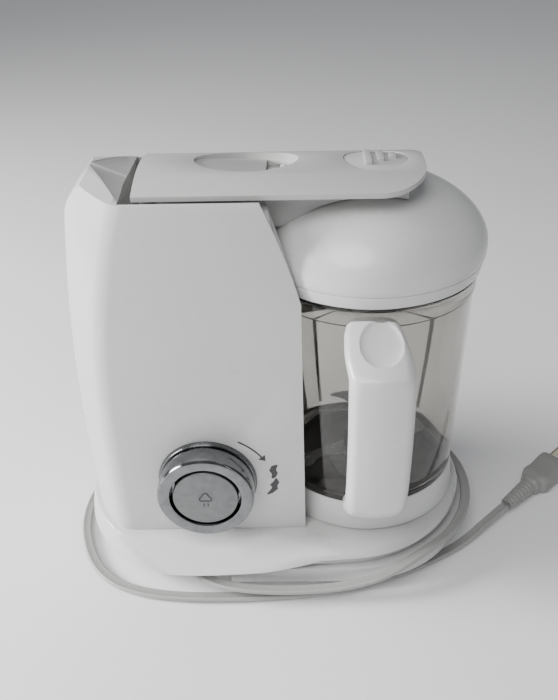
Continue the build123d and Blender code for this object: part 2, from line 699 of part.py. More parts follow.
def blade_bearing():
    return turned(JUG_X, AXIS_Y, [
        (BLADE_SHAFT_R + SHAFT_FIT, 45.2), (9.4, 45.2), (9.4, JUG_FLOOR_Z), (12, JUG_FLOOR_Z), (12, 54),
        (9, 56), (BLADE_SHAFT_R + SHAFT_FIT, 56),
    ])


def dogs(start, z0, z1):
    """Three teeth of a coupling."""
    turns = [Rot(0, 0, start + 120 * index) for index in range(3)]
    return [Pos(JUG_X, AXIS_Y, 0) * turn * block(5, 9, -2.2, 2.2, z0, z1) for turn in turns]


def drive_coupling():
    return tube(JUG_X, AXIS_Y, 31.5, 36, 9.5, BLADE_SHAFT_R) + dogs(0, 36, 40)


def blade_coupling():
    return post(JUG_X, AXIS_Y, 40.4, 44.6, 9.5) - post(JUG_X, AXIS_Y, 40, 45, BLADE_SHAFT_R) + dogs(60, 36.4, 40.4)


def drive_shaft():
    return post(JUG_X, AXIS_Y, FLOOR_GAP + WALL + 0.4, 36, BLADE_SHAFT_R)


def drive_bearing():
    return tube(JUG_X, AXIS_Y, 23, 30.2, 9, BLADE_SHAFT_R + SHAFT_FIT)


def pulley(x, r, bore):
    wheel = post(x, AXIS_Y, PULLEY_Z, PULLEY_Z + PULLEY_H, r)
    wheel += post(x, AXIS_Y, PULLEY_Z, PULLEY_Z + 1, r + 2.2)
    wheel += post(x, AXIS_Y, PULLEY_Z + PULLEY_H - 1, PULLEY_Z + PULLEY_H, r + 2.2)
    return wheel - post(x, AXIS_Y, 0, 60, bore)


def drive_belt():
    """Belt, drawn clear of both wheels by a hair so that they turn inside it."""
    outer = slab(PULLEY_Z + 1.4, PULLEY_Z + PULLEY_H - 1.4, MOTOR_X, MOTOR_PULLEY_R + 1.9,
                 JUG_X, JUG_PULLEY_R + 1.9)
    inner = slab(PULLEY_Z, PULLEY_Z + PULLEY_H, MOTOR_X, MOTOR_PULLEY_R + 0.3, JUG_X, JUG_PULLEY_R + 0.3)
    return outer - inner


def motor():
    can = post(MOTOR_X, AXIS_Y, 42, 100, MOTOR_R) + post(MOTOR_X, AXIS_Y, 100, 106, 10)
    return can - post(MOTOR_X, AXIS_Y, 41, 62, MOTOR_SHAFT_R + SHAFT_FIT)


def motor_shaft():
    return post(MOTOR_X, AXIS_Y, PULLEY_Z - 1, 60, MOTOR_SHAFT_R)


def motor_bracket():
    plate = tube(MOTOR_X, AXIS_Y, DECK_Z, 40, 29, 6)
    ring_ = tube(MOTOR_X, AXIS_Y, 40, 42, MOTOR_R, 18)
    return plate + ring_


# ------------------------------------------------------------------ knob
def knob_shroud():
    """Collar behind the knob, with the hub that its shaft turns in."""
    collar = bar_y(KNOB_X, KNOB_Z, PANEL_Y - 3, PANEL_Y, KNOB_R + 0.7)
    hub = bar_y(KNOB_X, KNOB_Z, PANEL_Y - 3, PANEL_Y + 4, 10)
    return collar + hub - bar_y(KNOB_X, KNOB_Z, PANEL_Y - 4, PANEL_Y + 5, 4 + SHAFT_FIT)


def knob():
    body = bar_y(KNOB_X, KNOB_Z, PANEL_Y - KNOB_REACH, PANEL_Y - 3.4, KNOB_R - 0.2)
    body = fillet(body.edges().group_by(Axis.Y)[0], 2.5)
    body -= bar_y(KNOB_X, KNOB_Z, PANEL_Y - 20, PANEL_Y - 10, BUTTON_R + 1.4)
    return body - bar_y(KNOB_X, KNOB_Z, PANEL_Y - 20, PANEL_Y, 4)


def knob_shaft():
    return hollow_bar_y(KNOB_X, KNOB_Z, PANEL_Y - 10, PANEL_Y + 17, 4, 1.8 + SHAFT_FIT)


def knob_button():
    disc = bar_y(KNOB_X, KNOB_Z, PANEL_Y - 16.4, PANEL_Y - 13.6, BUTTON_R)
    return disc + bar_y(KNOB_X, KNOB_Z, PANEL_Y - 14, PANEL_Y + 19, 1.8)


def button_spring():
    return hollow_bar_y(KNOB_X, KNOB_Z, PANEL_Y - 13.6, PANEL_Y - 10, 7.5, 5.5)


def selector_switch():
    return hollow_bar_y(KNOB_X, KNOB_Z, PANEL_Y + 4, PANEL_Y + 18, 13, 4 + SHAFT_FIT)


def button_switch():
    """Small switch held behind the selector by two bars."""
    body = block(KNOB_X - 9, KNOB_X + 9, PANEL_Y + 22, PANEL_Y + 28, KNOB_Z - 5, KNOB_Z + 5)
    for side in (-1, 1):
        x = KNOB_X + 7.5 * side
        body += block(x - 1.5, x + 1.5, PANEL_Y + 18, PANEL_Y + 22, KNOB_Z - 5, KNOB_Z + 5)
    return body


def control_board():
    board = block(-88, -64, PANEL_Y + 7, PANEL_Y + 8.6, 60, 140)
    relay = block(-86, -72, PANEL_Y + 8.6, PANEL_Y + 20, 100, 116)
    capacitor = bar_y(-72, 84, PANEL_Y + 8.6, PANEL_Y + 22, 5)
    posts = [bar_y(x, z, PANEL_Y + 2.6, PANEL_Y + 7, 3) for x in (-83, -68) for z in (64, 136)]
    return board + relay + capacitor + posts


# ------------------------------------------------------------------ boiler
def boiler_cup():
    """Steel cup with a neck under the arm's steam port."""
    return turned(STEAM_X, STEAM_Y, [
        (0, 152), (27, 152), (27, 194), (10.5, 208), (10.5, KEEL_Z - 3.3), (7.5, KEEL_Z - 3.3),
        (7.5, 206), (25, 193), (25, 154), (0, 154),
    ])


def boiler_collar():
    """Rubber collar that seals the neck in the channel's floor."""
    top = KEEL_Z - HOOD_GAP - WALL
    return tube(STEAM_X, STEAM_Y, top - 2.5, top, 15.5, 10.5)


def heater():
    return tube(STEAM_X, STEAM_Y, 144, 152, 24, 10)


def thermostat():
    return post(STEAM_X, STEAM_Y, 142, 152, 9)


def thermal_fuse():
    return bar_y(STEAM_X + 17, 142, STEAM_Y - 8, STEAM_Y + 8, 2)


# ------------------------------------------------------------------ mains lead
GLAND = Vector(-55, -62, 13.5)          # mouth of the gland
GLAND_OUT = Vector(0.8, -0.6, 0)
PLUG = Vector(156, -3, 7.5)             # tail of the plug
PLUG_TURN = 43.8                        # plug's direction, degrees from +X


def cord_gland():
    tail = GLAND - 18 * GLAND_OUT
    axis = Plane(origin=tail, z_dir=GLAND_OUT)
    return axis * Pos(0, 0, 9) * Cylinder(4.4, 18)


def terminal_block():
    floor = FLOOR_GAP + WALL
    block_ = block(-58, -38, -42, -32, floor, floor + 10)
    for index in range(3):
        block_ -= post(-54 + 6 * index, -37, floor + 5, floor + 11, 1.8)
    return block_


def corners_around(cx, radius, first, last, count, z):
    """Corners of a polyline whose sides touch a circle about cx on the axis plane."""
    step = (last - first) / (count - 1)
    reach = radius / cos(radians(step) / 2)
    angles = [radians(first + step * index) for index in range(count)]
    return [(cx + reach * cos(a), AXIS_Y + reach * sin(a), z) for a in angles]


def cord_route():
    """From the gland, once round the base on its flange, once round on the floor, to the plug."""
    plug_dir = Vector(cos(radians(PLUG_TURN)), sin(radians(PLUG_TURN)), 0)
    start = [tuple(GLAND), (-43, -71, 13.5), (-27, -77.5, 12.5), (-3, -79, 10.8), (22, -78.6, 10.4),
             (45, -78, 13), (66, -75.5, 18)]
    right = corners_around(FLANGE_X, 77.4, -62, 92, 8, 23.6)
    back = [(20, 88, 17.5), (-10, 92.5, 9)]
    left = corners_around(TOWER_X, 90, 90, 210, 6, 3.3)
    front = [(-104, -63, 3.3), (-82, -72.6, 3.3), (-56, -76.4, 3.3), (-28, -77.1, 3.3), (0, -76.2, 3.3),
             (23, -74.3, 3.3), (43, -70.6, 3.3), (63, -64.8, 3.3), (82, -57.4, 3.3), (101, -47.6, 3.3),
             (121, -34.6, 3.3), tuple(PLUG - 22 * plug_dir), tuple(PLUG)]
    return [Vector(*p) for p in start + right + back + left + front]


def cord_radii(route):
    """Largest bend at each corner that leaves a tenth of every run straight."""
    radii = []
    for before, here, after in zip(route, route[1:], route[2:]):
        turn = (here - before).get_angle(after - here)
        short = min((here - before).length, (after - here).length)
        radii.append(0.45 * short / tan(radians(turn) / 2))
    return radii


def cord():
    route = cord_route()
    radii = cord_radii(route)
    path = FilletPolyline(*route, radius=radii)
    lead = sweep(Plane(origin=path @ 0, z_dir=path % 0) * Circle(CORD_D / 2), path)
    ideal = pi * CORD_D ** 2 / 4 * path.length
    print("cord radii mm:", [round(r) for r in radii])
    print("cord length mm:", round(path.length, 1), "volume / ideal:", round(lead.volume / ideal, 4))
    return lead


def on_plug(shape):
    return Pos(*PLUG) * Rot(0, 0, PLUG_TURN) * shape


def plug_body():
    """Strain relief, collar and two-pin plug, lying on the floor."""
    relief = Pos(13, 0, 0) * Rot(0, 90, 0) * Cone(3.7, 5.2, 26)
    collar = Pos(28, 0, 0) * Rot(0, 90, 0) * Cylinder(6.6, 4)
    body = Pos(46, 0, 0) * Box(32, 22.5, 14.4)
    body = fillet(body.edges().filter_by(Axis.X), 4)
    return on_plug(relief + collar + body)


def plug_blades():
    blades_ = [Pos(70.5, side * 6.35, 0) * Box(17, 1.5, 6.3) for side in (-1, 1)]
    return Compound(children=[on_plug(b) for b in blades_])


# ------------------------------------------------------------------ all nodes
NODES = {
    "base_housing": base_housing, "base_plate": base_plate, "rubber_feet": rubber_feet,
    "base_screws": base_screws, "front_panel": front_panel, "tower_shell": tower_shell,
    "rear_cover": rear_cover, "top_tray": top_tray, "jug_seat": jug_seat,
    "knob_shroud": knob_shroud, "knob": knob, "knob_shaft": knob_shaft, "knob_button": knob_button,
    "button_spring": button_spring, "selector_switch": selector_switch, "button_switch": button_switch,
    "control_board": control_board,
    "arm_cover": arm_cover, "arm_keel": arm_keel, "hinge_pin": hinge_pin, "steam_duct": steam_duct,
    "steam_gasket": steam_gasket, "latch_slider": latch_slider, "latch_spring": latch_spring,
    "lid_release": lid_release, "release_spring": release_spring,
    "lid_dome": lid_dome, "lid_inner": lid_inner, "lid_seal": lid_seal,
    "jug": jug, "jug_ring": jug_ring, "jug_handle": jug_handle, "blade_bearing": blade_bearing,
    "blades": blades, "blade_carrier": blade_carrier, "blade_shaft": blade_shaft,
    "blade_coupling": blade_coupling, "drive_coupling": drive_coupling, "drive_shaft": drive_shaft,
    "drive_bearing": drive_bearing,
    "driven_pulley": lambda: pulley(JUG_X, JUG_PULLEY_R, BLADE_SHAFT_R),
    "motor_pulley": lambda: pulley(MOTOR_X, MOTOR_PULLEY_R, MOTOR_SHAFT_R),
    "drive_belt": drive_belt, "motor": motor, "motor_shaft": motor_shaft, "motor_bracket": motor_bracket,
    "boiler_cup": boiler_cup, "boiler_collar": boiler_collar, "heater": heater, "thermostat": thermostat,
    "thermal_fuse": thermal_fuse,
    "terminal_block": terminal_block, "cord_gland": cord_gland, "cord": cord,
    "plug_body": plug_body, "plug_blades": plug_blades,
}

for node, make in NODES.items():
    save(node, make())
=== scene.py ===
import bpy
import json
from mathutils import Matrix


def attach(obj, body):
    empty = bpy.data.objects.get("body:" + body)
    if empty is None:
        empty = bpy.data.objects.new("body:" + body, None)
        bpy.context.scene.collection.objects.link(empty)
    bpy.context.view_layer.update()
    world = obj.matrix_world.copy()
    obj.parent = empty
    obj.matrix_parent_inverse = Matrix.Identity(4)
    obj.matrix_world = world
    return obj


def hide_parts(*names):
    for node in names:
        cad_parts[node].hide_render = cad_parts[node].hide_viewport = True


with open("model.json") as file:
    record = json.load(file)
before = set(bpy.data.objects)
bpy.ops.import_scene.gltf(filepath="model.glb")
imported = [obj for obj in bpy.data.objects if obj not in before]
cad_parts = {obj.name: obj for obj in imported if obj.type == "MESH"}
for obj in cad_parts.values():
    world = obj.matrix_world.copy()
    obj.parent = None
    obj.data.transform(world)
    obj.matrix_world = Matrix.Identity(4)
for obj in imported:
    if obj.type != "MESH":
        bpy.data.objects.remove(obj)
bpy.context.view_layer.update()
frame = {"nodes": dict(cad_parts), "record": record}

import json
from math import asin, atan2, cos, hypot, pi, radians, sin

import bmesh
import bpy
from mathutils import Matrix, Vector

MM = 0.001
NODES = frame["nodes"]
TOWER_X = -41.0
JUG_X = 57.0
AXIS_Y = 4.0
PANEL_Y = AXIS_Y - 55.6
SLOT_OF = {part["node"]: part["material_slot"] for part in frame["record"]["subparts"]}


# ------------------------------------------------------------------ camera and light
CAMERA_PLACE = Vector((22.2, -411.5, 384.0))
CAMERA_TURN = (radians(33.23), radians(-0.08), radians(-0.906))     # pitch, yaw, roll
CAMERA_LENS = 41.143
CAMERA_SHIFT = (-0.04143, 0.03486)
SENSOR = 36.0
AIM = (0, 0, 0.12)              # the lights point at the middle of the machine


def look_matrix(pitch, yaw, roll):
    """Camera orientation from its pitch below the horizon, yaw and roll."""
    forward = Vector((sin(yaw) * cos(pitch), cos(yaw) * cos(pitch), -sin(pitch)))
    right = Vector((cos(yaw), -sin(yaw), 0))
    up = right.cross(forward)
    turned_right = cos(roll) * right + sin(roll) * up
    turned_up = -sin(roll) * right + cos(roll) * up
    return Matrix((turned_right, turned_up, -forward)).transposed().to_4x4()


def make_camera():
    data = bpy.data.cameras.new("camera")
    data.sensor_fit = "AUTO"
    data.sensor_width = SENSOR
    data.lens = CAMERA_LENS
    data.shift_x, data.shift_y = CAMERA_SHIFT
    data.clip_start = 0.02
    camera = bpy.data.objects.new("camera", data)
    camera.matrix_world = Matrix.Translation(CAMERA_PLACE * MM) @ look_matrix(*CAMERA_TURN)
    bpy.context.scene.collection.objects.link(camera)
    bpy.context.scene.camera = camera


def area_light(name, place, size, power):
    """Round lamp aimed at the machine."""
    data = bpy.data.lights.new(name, "AREA")
    data.shape = "DISK"
    data.size = size
    data.energy = power
    lamp = bpy.data.objects.new(name, data)
    lamp.location = place
    aim = Vector(AIM) - Vector(place)
    lamp.rotation_euler = aim.to_track_quat("-Z", "Y").to_euler()
    bpy.context.scene.collection.objects.link(lamp)


def make_world(strength):
    """Even, slightly cool light from all round."""
    world = bpy.data.worlds.new("studio")
    world.use_nodes = True
    background = world.node_tree.nodes["Background"]
    background.inputs[0].default_value = (0.93, 0.95, 1.0, 1)
    background.inputs[1].default_value = strength
    bpy.context.scene.world = world


# ------------------------------------------------------------------ materials
class Shader:
    """A material under construction, with short ways to add and join nodes."""

    def __init__(self, name, base, rough, metal=0.0, **sockets):
        self.mat = bpy.data.materials.new(name)
        self.mat.use_nodes = True
        self.tree = self.mat.node_tree
        self.bsdf = self.tree.nodes["Principled BSDF"]
        self.base = (*base, 1)
        self.bsdf.inputs["Base Color"].default_value = self.base
        self.bsdf.inputs["Roughness"].default_value = rough
        self.bsdf.inputs["Metallic"].default_value = metal
        for key, value in sockets.items():
            self.bsdf.inputs[key.replace("_", " ")].default_value = value
        self.mat.diffuse_color = self.base
        self.coords = self.add("ShaderNodeTexCoord").outputs["Object"]

    def add(self, kind, **settings):
        node = self.tree.nodes.new(kind)
        for key, value in settings.items():
            setattr(node, key, value)
        return node

    def link(self, out, socket):
        self.tree.links.new(out, socket)

    def noise(self, scale, detail=3.0, stretch=(1, 1, 1), rough=0.5):
        mapping = self.add("ShaderNodeMapping")
        mapping.inputs["Scale"].default_value = stretch
        self.link(self.coords, mapping.inputs["Vector"])
        texture = self.add("ShaderNodeTexNoise")
        texture.inputs["Scale"].default_value = scale
        texture.inputs["Detail"].default_value = detail
        texture.inputs["Roughness"].default_value = rough
        self.link(mapping.outputs["Vector"], texture.inputs["Vector"])
        return texture.outputs["Fac"]

    def ramp(self, value, low, high, out_low, out_high):
        node = self.add("ShaderNodeMapRange")
        node.inputs["From Min"].default_value = low
        node.inputs["From Max"].default_value = high
        node.inputs["To Min"].default_value = out_low
        node.inputs["To Max"].default_value = out_high
        self.link(value, node.inputs["Value"])
        return node.outputs["Result"]

    def vary_colour(self, value, other, low=0.35, high=0.7, amount=1.0):
        """Mix the present base colour with another where value is high."""
        mix = self.add("ShaderNodeMix", data_type="RGBA")
        self.link(self.ramp(value, low, high, 0, amount), mix.inputs[0])
        socket = self.bsdf.inputs["Base Color"]
        if socket.is_linked:
            self.link(socket.links[0].from_socket, mix.inputs[6])
        else:
            mix.inputs[6].default_value = socket.default_value
        mix.inputs[7].default_value = (*other, 1)
        self.link(mix.outputs[2], socket)

    def vary_rough(self, value, rough_low, rough_high, low=0.3, high=0.7):
        self.link(self.ramp(value, low, high, rough_low, rough_high), self.bsdf.inputs["Roughness"])

    def bump(self, value, strength, distance):
        node = self.add("ShaderNodeBump")
        node.inputs["Strength"].default_value = strength
        node.inputs["Distance"].default_value = distance
        self.link(value, node.inputs["Height"])
        socket = self.bsdf.inputs["Normal"]
        if socket.is_linked:
            self.link(socket.links[0].from_socket, node.inputs["Normal"])
        self.link(node.outputs["Normal"], socket)


GRAIN = 900.0                   # scale of moulded plastic's fine grain
GLOSS_SPREAD = 0.06             # how far a moulded face's roughness wanders


def moulded(name, base, rough, shade=0.97, bump=0.03, **more):
    """Moulded plastic: cloudy colour, fine grain, faint marks of handling."""
    s = Shader(name, base, rough, **more)
    s.vary_colour(s.noise(14, 4), [c * shade for c in base], 0.25, 0.75)
    s.vary_colour(s.noise(170, 2, rough=0.7), [c * (shade - 0.06) for c in base], 0.5, 0.85, 0.4)
    s.vary_rough(s.noise(35, 5, rough=0.65), rough - GLOSS_SPREAD, rough + GLOSS_SPREAD)
    s.bump(s.noise(GRAIN, 2), bump, 0.00012)
    s.bump(s.noise(26, 1), 0.05, 0.0006)
    return s.mat


def brushed(name, base, rough, stretch, bump=0.12):
    """Metal brushed along one axis."""
    s = Shader(name, base, rough, 1.0)
    streaks = s.noise(240, 3, stretch)
    s.vary_colour(streaks, [c * 0.86 for c in base], 0.3, 0.8)
    s.vary_rough(streaks, rough - 0.07, rough + 0.1)
    s.bump(streaks, bump, 0.0001)
    return s.mat


def clear_plastic(name, tint):
    """Clear plastic: slightly smoky, with faint scratches."""
    s = Shader(name, tint, 0.04, Transmission_Weight=1.0, IOR=1.46)
    scratches = s.noise(60, 6, (9, 9, 0.5), 0.8)
    s.vary_rough(scratches, 0.02, 0.16, 0.5, 0.8)
    s.vary_colour(s.noise(20, 3), [c * 0.93 for c in tint], 0.4, 0.8)
    s.bump(s.noise(18, 2), 0.06, 0.0008)
    return s.mat


def chrome():
    s = Shader("chrome", (0.22, 0.224, 0.232), 0.10, 1.0)
    s.vary_rough(s.noise(160, 5, rough=0.8), 0.07, 0.24, 0.35, 0.75)
    s.vary_colour(s.noise(120, 5, rough=0.8), (0.15, 0.153, 0.158), 0.45, 0.72)
    s.bump(s.noise(60, 2), 0.02, 0.0003)
    return s.mat


def make_materials():
    m = {
        "white_body": moulded("body_white", (0.66, 0.66, 0.65), 0.30, Coat_Weight=0.12, Coat_Roughness=0.18),
        "white_lid": moulded("lid_white", (0.70, 0.70, 0.69), 0.24, Coat_Weight=0.2, Coat_Roughness=0.12),
        "arm_white": moulded("arm_white", (0.50, 0.50, 0.49), 0.36, Coat_Weight=0.08, Coat_Roughness=0.2),
        "grey_inner": moulded("inner_grey", (0.47, 0.47, 0.468), 0.42),
        "dark": moulded("dark_plastic", (0.035, 0.036, 0.04), 0.38, shade=0.75),
        "board": moulded("board_green", (0.03, 0.14, 0.06), 0.4, shade=0.7),
        # painted shade: dark grey for the jug's floor plate, standing in for the shade inside the jug's lower
        # part
        "painted_floor_shade": moulded("jug_floor_painted_shade", (0.22, 0.21, 0.20), 0.30, shade=0.85),
        "rubber": moulded("rubber_black", (0.03, 0.03, 0.03), 0.75, shade=0.7, bump=0.15),
        "silicone": moulded("silicone", (0.66, 0.66, 0.64), 0.5, Subsurface_Weight=0.2),
        "lead": moulded("lead_vinyl", (0.40, 0.395, 0.385), 0.40, shade=0.92, bump=0.08),
        "plug": moulded("plug_vinyl", (0.33, 0.325, 0.315), 0.45, shade=0.9, bump=0.1),
        "mark": moulded("mark_grey", (0.045, 0.045, 0.05), 0.4, shade=0.85),
        "clear": clear_plastic("jug_clear", (0.68, 0.665, 0.635)),
        "edge": clear_plastic("jug_edge_smoke", (0.22, 0.212, 0.20)),
        "chrome": chrome(),
        "silver": brushed("silver_satin", (0.20, 0.203, 0.205), 0.34, (1, 1, 1), 0.05),
        "collar": brushed("collar_silver", (0.16, 0.163, 0.168), 0.22, (1, 1, 1), 0.03),
        "steel": brushed("steel_brushed", (0.60, 0.605, 0.62), 0.28, (1, 1, 18)),
        "aluminium": brushed("aluminium_cast", (0.62, 0.625, 0.63), 0.45, (3, 3, 3)),
        "brass": brushed("plated_brass", (0.72, 0.66, 0.50), 0.25, (14, 1, 1)),
    }
    return m


# ------------------------------------------------------------------ mesh helpers
def smooth_group():
    """Geometry nodes that shade smooth, apart from edges sharper than 32 degrees."""
    tree = bpy.data.node_groups.new("smooth_by_angle", "GeometryNodeTree")
    tree.interface.new_socket("Geometry", in_out="INPUT", socket_type="NodeSocketGeometry")
    tree.interface.new_socket("Geometry", in_out="OUTPUT", socket_type="NodeSocketGeometry")
    start = tree.nodes.new("NodeGroupInput")
    end = tree.nodes.new("NodeGroupOutput")
    faces = tree.nodes.new("GeometryNodeSetShadeSmooth")
    edges = tree.nodes.new("GeometryNodeSetShadeSmooth")
    edges.domain = "EDGE"
    edges.inputs["Shade Smooth"].default_value = False
    angle = tree.nodes.new("GeometryNodeInputMeshEdgeAngle")
    sharp = tree.nodes.new("FunctionNodeCompare")
    sharp.inputs["B"].default_value = radians(32)
    tree.links.new(angle.outputs["Unsigned Angle"], sharp.inputs["A"])
    tree.links.new(start.outputs[0], faces.inputs["Geometry"])
    tree.links.new(faces.outputs[0], edges.inputs["Geometry"])
    tree.links.new(sharp.outputs[0], edges.inputs["Selection"])
    tree.links.new(edges.outputs[0], end.inputs[0])
    return tree


SMOOTH = smooth_group()
WELD = 0.02                     # points of a CAD mesh this close are one point


def soften(obj, width):
    """Rounded edges and smooth shading, as modifiers."""
    if width:
        bevel = obj.modifiers.new("rounded_edges", "BEVEL")
        bevel.width = width * MM
        bevel.segments = 3
        bevel.limit_method = "ANGLE"
        bevel.angle_limit = radians(35)
        bevel.use_clamp_overlap = True
        bevel.miter_outer = "MITER_ARC"
    shade = obj.modifiers.new("smooth", "NODES")
    shade.node_group = SMOOTH


def dress(node, material, width):
    """A CAD node whose shape is right: welded, edges rounded, with a detailed material."""
    obj = NODES[node]
    obj.data.materials.clear()
    obj.data.materials.append(material)
    if "custom_normal" in obj.data.attributes:
        obj.data.attributes.remove(obj.data.attributes["custom_normal"])
    weld = obj.modifiers.new("weld", "WELD")
    weld.merge_threshold = WELD * MM
    soften(obj, width)


def mesh_piece(name, verts, faces, material, body, replaces=(), slot=None, smooth=True):
    """A new piece from points in millimetres."""
    mesh = bpy.data.meshes.new(name)
    mesh.from_pydata([Vector(v) * MM for v in verts], [], faces)
    mesh.validate()
    bm = bmesh.new()
    bm.from_mesh(mesh)
    bmesh.ops.remove_doubles(bm, verts=bm.verts, dist=1e-6)
    bmesh.ops.recalc_face_normals(bm, faces=bm.faces)
    bm.to_mesh(mesh)
    bm.free()
    mesh.materials.append(material)
    obj = bpy.data.objects.new(name, mesh)
    bpy.context.scene.collection.objects.link(obj)
    if smooth:
        mesh.shade_smooth()
    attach(obj, body)
    if replaces:
        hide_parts(*replaces)
    return obj


def rounded(points, radius):
    """Outline in a plane with each corner rounded by up to radius."""
    steps = 4
    result = []
    count = len(points)
    for index in range(count):
        here = Vector(points[index])
        before = Vector(points[index - 1]) - here
        after = Vector(points[(index + 1) % count]) - here
        r = min(radius, before.length * 0.45, after.length * 0.45)
        if r < 1e-4 or here[0] < 1e-6:
            result.append(tuple(here))
            continue
        a = here + before.normalized() * r
        b = here + after.normalized() * r
        for step in range(steps + 1):
            t = step / steps
            result.append(tuple((1 - t) ** 2 * a + 2 * t * (1 - t) * here + t * t * b))
    return result


def grid_faces(rows, count):
    """Quads between rows of count points each, every row a closed loop."""
    faces = []
    for row in range(rows - 1):
        here = row * count
        above = here + count
        for index in range(count):
            j = (index + 1) % count
            faces.append((here + index, here + j, above + j, above + index))
    return faces


def lathe(name, profile, place, material, body, segments, axis="Z", **more):
    """Solid of revolution from (radius, height) points, about the vertical or about -Y."""
    cx, cy, cz = place
    verts = []
    for r, h in profile:
        for index in range(segments):
            a = 2 * pi * index / segments
            if axis == "Z":
                verts.append((cx + r * cos(a), cy + r * sin(a), cz + h))
            else:
                verts.append((cx + r * cos(a), cy - h, cz + r * sin(a)))
    rows = len(profile)
    last = (rows - 1) * segments
    faces = grid_faces(rows, segments)
    for index in range(segments):
        j = (index + 1) % segments
        faces.append((last + index, last + j, j, index))
    obj = mesh_piece(name, verts, faces, material, body, smooth=False, **more)
    soften(obj, 0)
    return obj


def spline_points(points, count_per_span):
    """Smooth open curve through or near control points, as a quadratic NURBS of Blender's own."""
    data = bpy.data.curves.new("guide", "CURVE")
    data.dimensions = "3D"
    data.resolution_u = count_per_span
    spline = data.splines.new("NURBS")
    spline.points.add(len(points) - 1)
    for point, co in zip(spline.points, points):
        point.co = (*co, 1)
    spline.order_u = 3
    spline.use_endpoint_u = True
    obj = bpy.data.objects.new("guide", data)
    bpy.context.scene.collection.objects.link(obj)
    bpy.context.view_layer.update()
    mesh = bpy.data.meshes.new_from_object(obj.evaluated_get(bpy.context.evaluated_depsgraph_get()))
    line = [v.co.copy() for v in mesh.vertices]
    bpy.data.objects.remove(obj)
    return line


def sweep(line, section):
    """Vertices and faces of a section of (side, up) points swept along a line, with its ends closed."""
    verts = []
    total = len(line)
    for index, here in enumerate(line):
        ahead = line[min(index + 1, total - 1)]
        behind = line[max(index - 1, 0)]
        along = (ahead - behind).normalized()
        side = along.cross(Vector((0, 0, 1))).normalized()
        up = side.cross(along).normalized()
        verts += [here + side * a + up * b for a, b in section]
    n = len(section)
    faces = grid_faces(total, n)
    faces.append(tuple(range(n)))
    faces.append(tuple((total - 1) * n + index for index in range(n)))
    return verts, faces


make_camera()
MAT = make_materials()


# ------------------------------------------------------------------ mains lead
def around(cx, radius, first, last, count, z):
    """Control points whose smooth curve keeps to an arc of this radius."""
    step = (last - first) / (count - 1)
    reach = radius / cos(radians(step) / 2)
    angles = [radians(first + step * index) for index in range(count)]
    return [(cx + reach * cos(a), AXIS_Y + reach * sin(a), z) for a in angles]


PLUG = Vector((156, -3, 7.5))
PLUG_TURN = radians(43.8)
PLUG_DIR = Vector((cos(PLUG_TURN), sin(PLUG_TURN), 0))


def cord_points():
    """The lead's route: out of the gland, round the flange, round on the floor, to the plug."""
    start = [(-55, -62, 13.5), (-43, -71, 13.5), (-27, -77.5, 12.5), (-3, -79, 10.8), (22, -78.6, 10.4),
             (45, -78, 13), (66, -75.5, 18)]
    right = around(49, 77.4, -62, 92, 8, 23.6)
    back = [(20, 88, 17.5), (-10, 92.5, 9)]
    left = around(TOWER_X, 90, 90, 210, 6, 3.3)
    front = [(-104, -63, 3.3), (-82, -72.6, 3.3), (-56, -76.4, 3.3), (-28, -77.1, 3.3), (0, -76.2, 3.3),
             (23, -74.3, 3.3), (43, -70.6, 3.3), (63, -64.8, 3.3), (82, -57.4, 3.3), (101, -47.6, 3.3),
             (121, -34.6, 3.3), tuple(PLUG - 22 * PLUG_DIR), tuple(PLUG)]
    return [Vector(p) * MM for p in start + right + back + left + front]


def twin_section():
    """Two round cores side by side with the web between them."""
    ring = []
    for index in range(28):
        a = 2 * pi * index / 28
        side = 1.5 if cos(a) >= 0 else -1.5
        waist = 1 - 0.30 * max(0.0, 1 - abs(cos(a)) * 3.2) ** 2
        ring.append(((side + 1.7 * cos(a)) * MM, 1.7 * sin(a) * waist * MM))
    return ring


def make_cord():
    line = spline_points(cord_points(), 10)
    verts, faces = sweep(line, twin_section())
    cord = mesh_piece("cord_lead", [v / MM for v in verts], faces, MAT["lead"], "base", ["cord"], "lead")
    length = sum((b - a).length for a, b in zip(line, line[1:]))
    return cord, line, length


def on_plug(x, y, z):
    """A place on the plug, x being along it."""
    side = Vector((-PLUG_DIR.y, PLUG_DIR.x, 0))
    return PLUG + PLUG_DIR * x + side * y + Vector((0, 0, z))


def rounded_box_ring(x, half_w, half_h, power):
    """Cross-section of the plug, squarer as the power falls."""
    count = 40
    ring = []
    for index in range(count):
        a = 2 * pi * index / count
        c = cos(a)
        s = sin(a)
        ring.append(on_plug(x, half_w * abs(c) ** power * (1 if c > 0 else -1),
                            half_h * abs(s) ** power * (1 if s > 0 else -1)))
    return ring


def tube_of_rings(rings):
    """Vertices and faces through rings of points, with its ends closed."""
    n = len(rings[0])
    verts = [v for ring in rings for v in ring]
    faces = [tuple(range(n)), tuple((len(rings) - 1) * n + i for i in range(n))]
    return verts, faces + grid_faces(len(rings), n)


